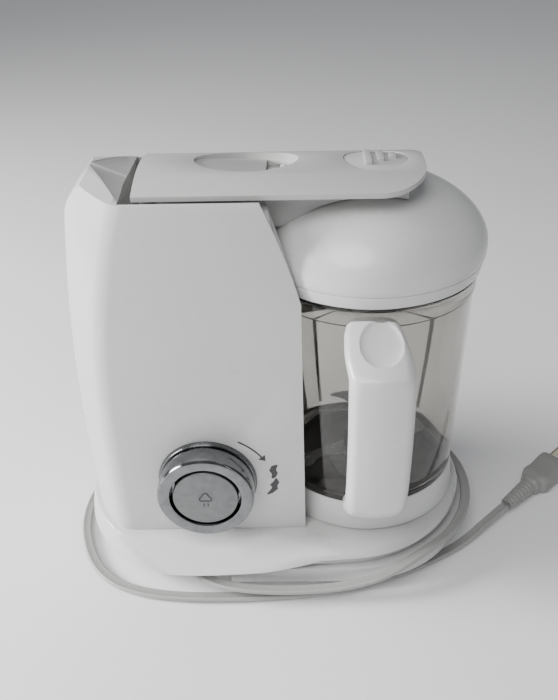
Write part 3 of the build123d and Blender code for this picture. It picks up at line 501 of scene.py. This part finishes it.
def make_plug():
    """Flat moulded plug: ribbed strain relief, collar, waisted grip and a shoulder."""
    rings = []
    for index in range(8):
        x = 3.3 * index
        r = 3.5 + 0.22 * index
        for dx, grow in ((0.1, 0), (1.0, 0.35), (2.0, 0.35), (2.4, -0.25), (3.0, -0.25)):
            rings.append(rounded_box_ring(x + dx, r + 0.7 + grow, min(r + grow, 7.4), 0.95))
    grip = (
        # (along the plug, half width, half height, squareness)
        (27, 6.4, 6.0, 0.8), (28, 7.2, 6.6, 0.7), (29.6, 7.4, 6.7, 0.7), (30.2, 6.7, 6.1, 0.75),
        (31.4, 6.9, 6.1, 0.7), (33.5, 9.8, 6.9, 0.6), (37, 11.0, 7.1, 0.5), (44, 10.4, 6.4, 0.45),
        (50, 10.7, 6.8, 0.42), (56, 11.1, 7.1, 0.4), (60.2, 11.0, 7.0, 0.4), (61.4, 10.4, 6.4, 0.42),
        (61.7, 9.4, 5.4, 0.45),
    )
    rings += [rounded_box_ring(*level) for level in grip]
    verts, faces = tube_of_rings(rings)
    plug = mesh_piece("plug_moulding", verts, faces, MAT["plug"], "base", ["plug_body"], "lead",
                      smooth=False)
    soften(plug, 0)
    return plug


cord, cord_line, cord_measure = make_cord()
plug = make_plug()
print("cord spline length", round(cord_measure, 4))


# ------------------------------------------------------------------ lid
def make_lid():
    """Domed lid as a shell, with its lower ring and the groove where they part."""
    outer = [(64.3, 198.2), (64.75, 198.9), (65, 201.5)]
    for index in range(25):
        t = radians(90 * index / 24)
        outer.append((65 * cos(t) ** 1.10 if index < 24 else 0.0, 205 + 37 * sin(t) ** 1.10))
    inner = [(0.0, 239.4)]
    for index in range(23, -1, -1):
        t = radians(90 * index / 24)
        inner.append((62.4 * cos(t) ** 1.10, 205 + 34.4 * sin(t) ** 1.10))
    inner += [(62.0, 198.2)]
    lathe("lid_dome_shell", outer + inner, (JUG_X, AXIS_Y, 0), MAT["white_lid"], "arm", 160,
          replaces=["lid_dome"], slot="white_lid")
    corners = [(61.2, 195), (62.2, 191.0), (62.9, 191.2), (64.25, 197.2), (63.6, 198.0), (61.2, 198.0)]
    ring = rounded(corners, 0.5)
    lathe("lid_ring_skin", ring, (JUG_X, AXIS_Y, 0), MAT["white_lid"], "arm", 160, slot="white_lid")
    dress("lid_inner", MAT["white_lid"], 0.3)
    dress("lid_seal", MAT["silicone"], 0.5)


# ------------------------------------------------------------------ jug
def make_jug():
    """Clear jug with the line under its rim band, and two inner ribs on the far wall."""
    profile = [
        (12, 50), (54.3, 50), (54.6, 50.4), (54.6, 55.8), (55.0, 56.05), (56.4, 56.1), (56.65, 56.6),
        (58.4, 118), (60.15, 179.4), (60.35, 179.9), (61.0, 180.1), (61.2, 180.6), (61.2, 187.8),
        (60.9, 188.4), (60.4, 188.6), (58.6, 188.6), (58.1, 188.4), (57.8, 187.8), (57.7, 180),
        (56.0, 118), (54.25, 64), (53.6, 59.5), (51.5, 55.2), (48, 52.9), (44, 52.4), (12, 52.4),
    ]
    lathe("jug_clear", profile, (JUG_X, AXIS_Y, 0), MAT["clear"], "jug", 192, replaces=["jug"], slot="clear")
    for number, angle in enumerate((41, 120)):
        verts = []
        a = radians(angle)
        out = Vector((cos(a), sin(a), 0))
        side = Vector((-sin(a), cos(a), 0))
        for z in (62, 64, 90, 120, 150, 172, 176):
            wall = 54.25 + (57.7 - 54.25) * (z - 64) / 116 - 0.35
            depth = 2.4 if 63 < z < 175 else 0.8
            for r, w in ((wall - depth, 0.35), (wall - depth * 0.4, 0.5), (wall, 0.8)):
                verts.append(Vector((JUG_X, AXIS_Y, z)) + out * r + side * w)
            for r, w in ((wall, 0.8), (wall - depth * 0.4, 0.5), (wall - depth, 0.35)):
                verts.append(Vector((JUG_X, AXIS_Y, z)) + out * r - side * w)
        faces = grid_faces(7, 6) + [tuple(range(6)), tuple(36 + i for i in range(6))]
        rib = mesh_piece(f"jug_rib_{number}", verts, faces, MAT["edge"], "jug", slot="clear", smooth=False)
        soften(rib, 0)
    band = [(59.9, 179.2), (60.3, 179.0), (60.7, 179.3), (60.75, 179.9), (60.4, 180.1), (60.0, 180.0)]
    lathe("jug_rim_line", band, (JUG_X, AXIS_Y, 0), MAT["edge"], "jug", 160, slot="clear")
    ring = [
        (49.2, 36.4), (58.2, 36.4), (58.75, 36.9), (58.8, 37.6), (57.6, 48), (56.95, 54.6), (56.6, 55.6),
        (55.6, 56.0), (54.7, 55.9), (54.6, 49.8), (49.2, 49.8),
    ]
    lathe("foot_ring_skin", ring, (JUG_X, AXIS_Y, 0), MAT["white_lid"], "jug", 160, slot="white_lid")
    # The floor plate is coloured dark as painted shade, in place of the shade seen through the jug's lower
    # wall.
    plate = [(9.4, 45), (49, 45), (49, 49.9), (9.4, 49.9)]
    lathe("jug_floor_plate", plate, (JUG_X, AXIS_Y, 0), MAT["painted_floor_shade"], "jug", 128,
          replaces=["jug_ring"], slot="dark")
    dress("blade_bearing", MAT["dark"], 0.5)


# The handle's outer and inner lines, as (distance in front of the axis, height).
HANDLE_OUTER = [
    (58.5, 185.2), (64, 181.8), (74, 175.4), (83, 169.8), (87.6, 166.9), (90.0, 165.2), (90.9, 162.6),
    (91.2, 156), (91.4, 140), (91.3, 118), (91.0, 98), (90.4, 86), (88.2, 76), (82.5, 67.5), (73, 60.5),
    (65, 56.6), (57.6, 54.0),
]
HANDLE_INNER = [
    (58.5, 172.6), (61.5, 171.6), (66, 169.6), (71, 166.6), (74.6, 163), (76.8, 159.6), (77.8, 156),
    (78.3, 150), (78.5, 138), (78.4, 118), (78.2, 100), (77.6, 90), (75.6, 82), (71.4, 75.4), (66.2, 70.6),
    (61.6, 68.2), (57.6, 67.0),
]
THUMB = Vector((JUG_X + 2.1, AXIS_Y - 72.0, 176.7))
THUMB_DOWN = Vector((0, -0.848, -0.53))
THUMB_OUT = Vector((0, -0.53, 0.848))


def handle_section(half_w, half_d, corner):
    """Rounded rectangle with a crowned outer face, its points evenly spaced."""
    points = []
    for step in range(45):
        x = (half_w - corner) * (1 - 2 * step / 44)
        points.append((x, half_d))
    arcs = ((-1, 1, 90), (-1, -1, 180), (1, -1, 270), (1, 1, 360))
    for number, (sx, sy, first) in enumerate(arcs):
        for step in range(1, 9):
            a = radians(first + 90 * step / 8)
            x = sx * (half_w - corner) + corner * cos(a)
            y = sy * (half_d - corner) + corner * sin(a)
            points.append((x, y))
        if number == 1:
            for step in range(1, 16):
                points.append(((half_w - corner) * (2 * step / 16 - 1), -half_d))
    points.pop()
    return [(x, y + (2.6 * (1 - (x / half_w) ** 2) if y > 0 else 0)) for x, y in points]


def make_handle():
    """Moulded grip with a slanted thumb face and its oval hollow."""
    sides = []
    for profile in (HANDLE_OUTER, HANDLE_INNER):
        sides.append(spline_points([Vector((JUG_X, AXIS_Y - back, z)) * MM for back, z in profile], 16))
    outer, inner = sides
    total = len(outer)
    verts = []
    for index in range(total):
        t = index / (total - 1)
        top = outer[index] / MM
        low = inner[index] / MM
        middle = (top + low) / 2 - (top - low).normalized() * 1.3
        out = (top - low).normalized()
        half_d = (top - low).length / 2 - 1.3
        half_w = 17.2 - 2.6 * max(0.0, 1 - t / 0.16) ** 1.6 - 1.0 * max(0.0, (t - 0.82) / 0.18) ** 2
        shift = 2.3 - 4.0 * max(0.0, 1 - t / 0.30) ** 1.3 - 2.0 * max(0.0, (t - 0.55) / 0.45)
        end = min(t, 1 - t)
        corner = 5.2 + 1.2 * sin(pi * t)
        corner = min(corner, half_d - 0.3)
        swell = 1 - 0.05 * max(0.0, 1 - end / 0.03)
        for x, y in handle_section(half_w * swell, half_d, corner):
            verts.append(middle + Vector((1, 0, 0)) * (x + shift) + out * y)
    for index, v in enumerate(verts):
        offset = v - THUMB
        rho = (offset.x / 11.2) ** 2 + (offset.dot(THUMB_DOWN) / 13.4) ** 2
        if rho < 1 and offset.dot(THUMB_OUT) > -4:
            verts[index] = v - THUMB_OUT * 2.3 * (1 - rho) ** 0.62
    n = len(handle_section(17, 6, 4))
    faces = grid_faces(total, n) + [tuple(range(n)), tuple((total - 1) * n + k for k in range(n))]
    handle = mesh_piece("handle_grip", verts, faces, MAT["white_lid"], "jug", ["jug_handle"], "white_lid",
                        smooth=False)
    soften(handle, 0)
    clip = [(-15.4, 66.0), (-12.0, 66.4), (-12.4, 57.4), (-15.6, 58.2)]
    verts = [(JUG_X + x, AXIS_Y - back, z) for back in (58.0, 63.5) for x, z in clip]
    faces = [(0, 1, 2, 3), (4, 5, 6, 7), (0, 1, 5, 4), (1, 2, 6, 5), (2, 3, 7, 6), (3, 0, 4, 7)]
    soften(mesh_piece("handle_clip", verts, faces, MAT["dark"], "jug", slot="dark", smooth=False), 0.4)


# ------------------------------------------------------------------ knob
KNOB = (-38.0, PANEL_Y, 75.0)


def flat_mark(name, outline, depth, material, body, place, right, up):
    """Thin printed or inlaid mark from an outline in the plane of right and up."""
    normal = right.cross(up).normalized()
    verts = [place + right * x + up * y + normal * depth for x, y in outline]
    verts += [place + right * x + up * y - normal * 0.05 for x, y in outline]
    n = len(outline)
    faces = [tuple(range(n)), tuple(range(2 * n - 1, n - 1, -1))]
    faces += [(i, (i + 1) % n, n + (i + 1) % n, n + i) for i in range(n)]
    return mesh_piece(name, verts, faces, material, body, slot="grey_inner", smooth=False)


def ribbon(points, widths):
    """Outline of a stroke along points with a width at each point."""
    left = []
    right = []
    for index, (x, y) in enumerate(points):
        x0, y0 = points[max(index - 1, 0)]
        x1, y1 = points[min(index + 1, len(points) - 1)]
        length = hypot(x1 - x0, y1 - y0)
        nx = -(y1 - y0) / length
        ny = (x1 - x0) / length
        w = widths[index] / 2
        left.append((x + nx * w, y + ny * w))
        right.append((x - nx * w, y - ny * w))
    return left + right[::-1]


def make_knob():
    shroud = rounded([(9, 0), (29.0, 0), (28.9, 1.2), (28.3, 3.2), (25, 3.2), (9, 3.0)], 0.6)
    lathe("knob_collar", shroud, KNOB, MAT["collar"], "base", 144, "Y",
          replaces=["knob_shroud"], slot="silver")
    ring = [
        (4.2, 9.8), (4.2, 3.6), (26.6, 3.5), (27.3, 3.8), (27.6, 4.6), (27.75, 9), (27.8, 14.2), (27.6, 15.6),
        (27.0, 16.6), (26.2, 17.0), (25.4, 17.0), (23, 16.75), (21.3, 16.6), (20.7, 16.3), (20.4, 15.6),
        (20.35, 10.4), (20.0, 10.0),
    ]
    lathe("knob_ring", ring, KNOB, MAT["chrome"], "selector", 160, "Y", replaces=["knob"], slot="chrome")
    disc = [
        (0, 16.35), (18.0, 16.2), (18.5, 16.05), (18.8, 15.6), (18.9, 14.4), (18.8, 13.7), (1.8, 13.6),
        (1.7, 4), (1.7, -18.8), (0, -18.8),
    ]
    lathe("knob_push_disc", disc, KNOB, MAT["silver"], "push", 144, "Y",
          replaces=["knob_button"], slot="silver")
    place = Vector((KNOB[0], PANEL_Y - 16.33, KNOB[2]))
    right = Vector((1, 0, 0))
    up = Vector((0, 0, 1))
    cloud = []
    for index in range(61):
        a = 2 * pi * index / 60
        r = 3.1 + 0.7 * cos(3 * (a - pi / 2))
        cloud.append((r * cos(a), r * sin(a) * 0.9 + 0.6))
    flat_mark("mark_cloud", ribbon(cloud, [0.85] * len(cloud)), 0.12, MAT["mark"], "push", place, right, up)
    for number, x in enumerate((-1.2, 1.2)):
        stroke = ribbon([(x, -3.6), (x + 0.25, -4.6), (x, -5.6)], [0.75, 0.75, 0.75])
        flat_mark(f"mark_steam_{number}", stroke, 0.12, MAT["mark"], "push", place, right, up)
    arrow = []
    for index in range(9):
        a = radians(62 - 26 * index / 8)
        arrow.append((38.5 * cos(a), 38.5 * sin(a)))
    panel = Vector((KNOB[0] + 1.0, PANEL_Y - 0.02, KNOB[2] - 6))
    flat_mark("mark_arrow", ribbon(arrow, [1.0] * 9), 0.1, MAT["mark"], "base", panel, right, up)
    tip = Vector(arrow[-1])
    run = (tip - Vector(arrow[-2])).normalized()
    cross = Vector((-run.y, run.x))
    head = [tip + run * 3.6, tip + cross * 2.6, tip - cross * 2.6]
    flat_mark("mark_arrow_head", [tuple(p) for p in head], 0.1, MAT["mark"], "base", panel, right, up)
    beside = Vector((KNOB[0] - 0.4, PANEL_Y - 0.02, KNOB[2]))
    blades = (
        [(41.4, 10.6), (39.4, 9.0), (38.6, 6.6), (39.8, 4.4), (39.0, 2.0), (38.0, 0.6)],
        [(40.4, 0.6), (40.6, -2.0), (38.8, -4.6), (39.6, -7.0), (37.4, -9.6), (34.8, -11.6)],
    )
    for number, line in enumerate(blades):
        outline = ribbon(line, [0.9, 3.4, 4.3, 3.6, 2.6, 0.8])
        flat_mark(f"mark_blade_{number}", outline, 0.1, MAT["mark"], "base", beside, right, up)


# ------------------------------------------------------------------ tower and base
def copied(node):
    """Editable copy of a CAD node's mesh, in millimetres, with its doubled points joined."""
    bm = bmesh.new()
    bm.from_mesh(NODES[node].data)
    bmesh.ops.remove_doubles(bm, verts=bm.verts, dist=2e-5)
    for v in bm.verts:
        v.co /= MM
    return bm


def ease(t):
    """Smooth step from 0 to 1."""
    t = min(max(t, 0.0), 1.0)
    return t * t * (3 - 2 * t)


def lean_back(v):
    """The tower's front curves back towards its top."""
    rise = min(max((v.z - 165) / 81, 0.0), 1.15)
    lean = 4.8 * rise ** 1.8 * ease((-16 - v.y) / 30)
    return Vector((v.x, v.y + lean, v.z - 0.65 * lean))


def leaned(name, node, material, width):
    """A CAD node of the tower cut into narrow strips and curved back, in place of that node."""
    bm = copied(node)
    bmesh.ops.dissolve_limit(bm, angle_limit=radians(0.1), verts=bm.verts, edges=bm.edges)
    for z in range(158, 252, 2):
        geometry = bm.verts[:] + bm.edges[:] + bm.faces[:]
        bmesh.ops.bisect_plane(bm, geom=geometry, dist=1e-4, plane_co=(0, 0, z), plane_no=(0, 0, 1))
    for y in range(-44, -14, 5):
        geometry = bm.verts[:] + bm.edges[:] + bm.faces[:]
        bmesh.ops.bisect_plane(bm, geom=geometry, dist=1e-4, plane_co=(0, y, 0), plane_no=(0, 1, 0))
    bmesh.ops.triangulate(bm, faces=[f for f in bm.faces if len(f.verts) > 4])
    bm.verts.index_update()
    verts = [lean_back(v.co) for v in bm.verts]
    faces = [tuple(v.index for v in f.verts) for f in bm.faces]
    bm.free()
    piece = mesh_piece(name, verts, faces, material, "base", [node], SLOT_OF[node], smooth=False)
    soften(piece, width)


def racetrack(x1, r1, x2, r2):
    """Points round two circles on the axis plane, the same number on each part at any size."""
    count = 60
    lean = asin((r1 - r2) / (x2 - x1))
    points = []
    for step in range(count):
        a = -pi / 2 + lean + (pi - 2 * lean) * step / count
        points.append(Vector((x2 + r2 * cos(a), AXIS_Y + r2 * sin(a), 0)))
    right_top = Vector((x2 + r2 * sin(lean), AXIS_Y + r2 * cos(lean), 0))
    left_top = Vector((x1 + r1 * sin(lean), AXIS_Y + r1 * cos(lean), 0))
    points += [right_top.lerp(left_top, step / count) for step in range(count)]
    for step in range(count):
        a = pi / 2 - lean + (pi + 2 * lean) * step / count
        points.append(Vector((x1 + r1 * cos(a), AXIS_Y + r1 * sin(a), 0)))
    left_low = Vector((left_top.x, 2 * AXIS_Y - left_top.y, 0))
    right_low = Vector((right_top.x, 2 * AXIS_Y - right_top.y, 0))
    points += [left_low.lerp(right_low, step / (3 * count)) for step in range(3 * count)]
    return points


def soft_max(a, b, k):
    """The greater of a and b, blended over a width of k where they are close."""
    h = min(max(0.5 + 0.5 * (a - b) / k, 0.0), 1.0)
    return b + (a - b) * h + k * h * (1 - h)


DECK_Z = 36.0
UNDER_Z = 31.0                  # underside of the deck's thickness
SEAT_R = 57.05                  # opening that the jug's foot stands in
BASE_LEVELS = [
    # (left radius, right centre, right radius, z at left, z at right, front limit at left, at right)
    (78.8, 57.0, 60.0, 36.0, 36.0, -52.9, -62.0),
    (79.6, 55.5, 63.0, 35.4, 35.5, -54.4, -64.5),
    (80.4, 50.0, 70.0, 33.2, 33.4, -57.6, -69.0),
    (81.0, 45.0, 74.5, 30.8, 31.2, -61.2, -72.6),
    (81.5, 43.4, 75.9, 28.6, 29.6, -64.6, -74.2),
    (81.9, 43.0, 75.8, 25.6, 28.6, -68.6, -74.6),
    (82.4, 43.0, 74.6, 22.6, 28.0, -73.0, -74.0),
    (82.6, 43.0, 73.6, 20.8, 27.8, -75.8, -73.4),
    (81.8, 43.0, 72.8, 20.0, 27.8, -75.6, -73.0),
    (79.0, 43.0, 71.2, 20.2, 28.2, -72.8, -71.0),
    (77.5, 43.0, 70.6, 22.5, 27.0, -70.5, -70.6),
    (77.5, 43.0, 70.6, 24.0, 20.2, -70.5, -70.6),
    (74.0, 43.0, 67.0, 24.0, 20.4, -67.0, -67.0),
]


def make_base():
    """Top moulding of the base: flat sloping apron in front, turning into the round edge at the right."""
    rings = []
    for r1, x2, r2, z_left, z_right, y_left, y_right in BASE_LEVELS:
        ring = []
        for p in racetrack(TOWER_X, r1, x2, r2):
            blend = ease((p.x + 12) / 58)
            limit = y_left + (y_right - y_left) * blend
            z = z_left + (z_right - z_left) * (blend if p.y < 0 else ease((p.x + 60) / 90))
            y = soft_max(p.y, limit, 5.0) if p.y < 0 else p.y
            ring.append(Vector((p.x, y, z)))
        rings.append(ring)
    n = len(rings[0])
    seat = []
    for p in rings[0]:
        a = atan2(p.y - AXIS_Y, p.x - JUG_X)
        seat.append(Vector((JUG_X + SEAT_R * cos(a), AXIS_Y + SEAT_R * sin(a), DECK_Z)))
    wall = [Vector((p.x, p.y, UNDER_Z)) for p in seat]
    rings = [wall, seat] + rings
    verts = [v for ring in rings for v in ring]
    faces = grid_faces(len(rings), n)
    last = len(rings) - 1
    under = [Vector((p.x, p.y, UNDER_Z)) for p in rings[2]]
    under = [v.lerp(Vector((0, AXIS_Y, UNDER_Z)), 0.06) for v in under]
    verts += under
    for k in range(n):
        j = (k + 1) % n
        faces.append((last * n + k, last * n + j, (last + 1) * n + j, (last + 1) * n + k))
        faces.append(((last + 1) * n + k, (last + 1) * n + j, j, k))
    piece = mesh_piece("base_top", verts, faces, MAT["white_body"], "base", ["base_housing"], "white_body",
                       smooth=False)
    soften(piece, 0)


# ------------------------------------------------------------------ carried-over nodes
def dress_all():
    """The tower and base in their shaped form, and every other node with its own material."""
    body = MAT["white_body"]
    leaned("panel_front", "front_panel", body, 1.2)
    leaned("tower_skin", "tower_shell", body, 0)
    leaned("tray_lining", "top_tray", MAT["arm_white"], 0)
    make_base()
    for node, width in (("rear_cover", 0.9), ("base_plate", 1.0), ("jug_seat", 0.4)):
        dress(node, body, width)
    dress("arm_cover", MAT["arm_white"], 1.0)
    dress("lid_release", MAT["arm_white"], 0.5)
    dress("arm_keel", MAT["arm_white"], 0.8)
    dress("latch_slider", MAT["white_lid"], 0.4)
    groups = {
        "dark": ["knob_shaft", "selector_switch", "button_switch", "blade_carrier", "blade_coupling",
                 "drive_coupling", "driven_pulley", "thermostat", "terminal_block", "cord_gland"],
        "steel": ["base_screws", "button_spring", "hinge_pin", "latch_spring", "release_spring", "blades",
                  "blade_shaft", "drive_shaft", "motor", "motor_shaft", "boiler_cup", "thermal_fuse"],
        "aluminium": ["motor_pulley", "motor_bracket", "heater"],
        "silicone": ["steam_gasket", "boiler_collar"],
        "rubber": ["rubber_feet", "drive_belt"],
        "brass": ["drive_bearing", "plug_blades"],
        "board": ["control_board"],
        "grey_inner": ["steam_duct"],
    }
    for material, nodes in groups.items():
        for node in nodes:
            dress(node, MAT[material], 0.25)


# ------------------------------------------------------------------ stage
def make_stage():
    """Pale floor, even light all round, a lamp at the left and a large one above the front."""
    size = 3.0
    mesh = bpy.data.meshes.new("floor")
    corners = [(-size, -size, 0), (size, -size, 0), (size, size, 0), (-size, size, 0)]
    mesh.from_pydata(corners, [], [(0, 1, 2, 3)])
    floor_shader = Shader("floor_pale", (0.90, 0.90, 0.90), 0.6)
    floor_shader.vary_colour(floor_shader.noise(2.0, 2), (0.88, 0.88, 0.88))
    floor_shader.bsdf.inputs["Emission Color"].default_value = (1, 1, 1, 1)
    floor_shader.bsdf.inputs["Emission Strength"].default_value = 0.06
    mesh.materials.append(floor_shader.mat)
    floor = bpy.data.objects.new("floor", mesh)
    bpy.context.scene.collection.objects.link(floor)
    make_world(0.22)
    area_light("key", (-1.15, -0.08, 0.62), 0.55, 31)
    area_light("top", (-0.32, -0.78, 1.18), 0.90, 12)


make_lid()
make_jug()
make_handle()
make_knob()
dress_all()
make_stage()
